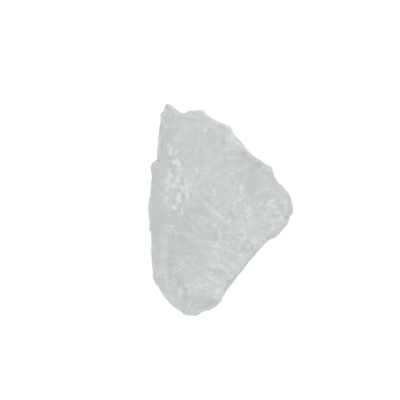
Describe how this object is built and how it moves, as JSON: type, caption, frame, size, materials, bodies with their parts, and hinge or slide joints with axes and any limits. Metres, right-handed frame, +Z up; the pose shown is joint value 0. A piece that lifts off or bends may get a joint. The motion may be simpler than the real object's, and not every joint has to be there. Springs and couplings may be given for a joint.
{
  "type": "raw mineral",
  "caption": "Raw pale aquamarine: a broken, flattish piece of beryl with a horn at its narrow end, a knob on one flank, frosty fracture faces and a flat break to lie on.",
  "frame": {"origin": "centre of the stone's box in plan, on the surface that it lies on", "axes": "+Y towards the horn, along the stone's length; +X towards the knob on its right flank; +Z up, out of its broken top"},
  "size_m": [0.0288, 0.0424, 0.0164],
  "materials": {
    "beryl": "see-through pale grey-green crystal, frosty where it is finely broken"
  },
  "bodies": {
    "root": {"aquamarine": "beryl"}
  },
  "joints": []
}
